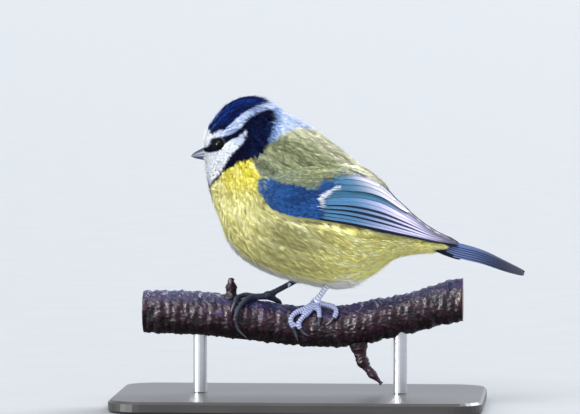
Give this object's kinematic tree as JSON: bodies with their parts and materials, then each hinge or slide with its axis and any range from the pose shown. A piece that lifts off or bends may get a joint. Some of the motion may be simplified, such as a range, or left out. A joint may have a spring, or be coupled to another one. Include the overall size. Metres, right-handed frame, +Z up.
{
  "type": "blue tit",
  "caption": "Small perching bird with a blue cap, white cheeks and yellow breast, gripping a short cut branch held by a flat stand.",
  "frame": {"origin": "centre of the underside of the stand's base", "axes": "+Z up; the bird faces -X, its left side faces -Y, and its tail points along +X"},
  "size_m": [0.1314, 0.07, 0.0987],
  "materials": {
    "head_plumage": "soft matte feathers",
    "body_plumage": "soft matte feathers",
    "wing_feathers": "satin feather vanes",
    "tail_feathers": "satin feather vanes",
    "bill": "satin horn",
    "eye": "wet gloss",
    "legs": "fine scales",
    "claws": "satin horn",
    "bark": "wet glossy bark",
    "stand_wood": "dark satin lacquer",
    "stand_rod": "brushed"
  },
  "bodies": {
    "root": {"head": "head_plumage", "neck": "head_plumage", "trunk": "body_plumage", "rump": "body_plumage", "tail": "tail_feathers", "bill_upper": "bill", "bill_lower": "bill", "eye_left": "eye", "wing_left_coverts": "wing_feathers", "wing_left_secondaries": "wing_feathers", "wing_left_tertials": "wing_feathers", "wing_left_primaries": "wing_feathers", "thigh_left": "body_plumage", "tarsus_left": "legs", "foot_left": "legs", "claw_left_inner": "claws", "claw_left_middle": "claws", "claw_left_outer": "claws", "claw_left_hind": "claws", "eye_right": "eye", "wing_right_coverts": "wing_feathers", "wing_right_secondaries": "wing_feathers", "wing_right_tertials": "wing_feathers", "wing_right_primaries": "wing_feathers", "thigh_right": "body_plumage", "tarsus_right": "legs", "foot_right": "legs", "claw_right_inner": "claws", "claw_right_middle": "claws", "claw_right_outer": "claws", "claw_right_hind": "claws", "perch": "bark", "perch_twig": "bark", "perch_bud": "bark", "stand_base": "stand_wood", "stand_rod_front": "stand_rod", "stand_rod_back": "stand_rod"}
  },
  "joints": []
}
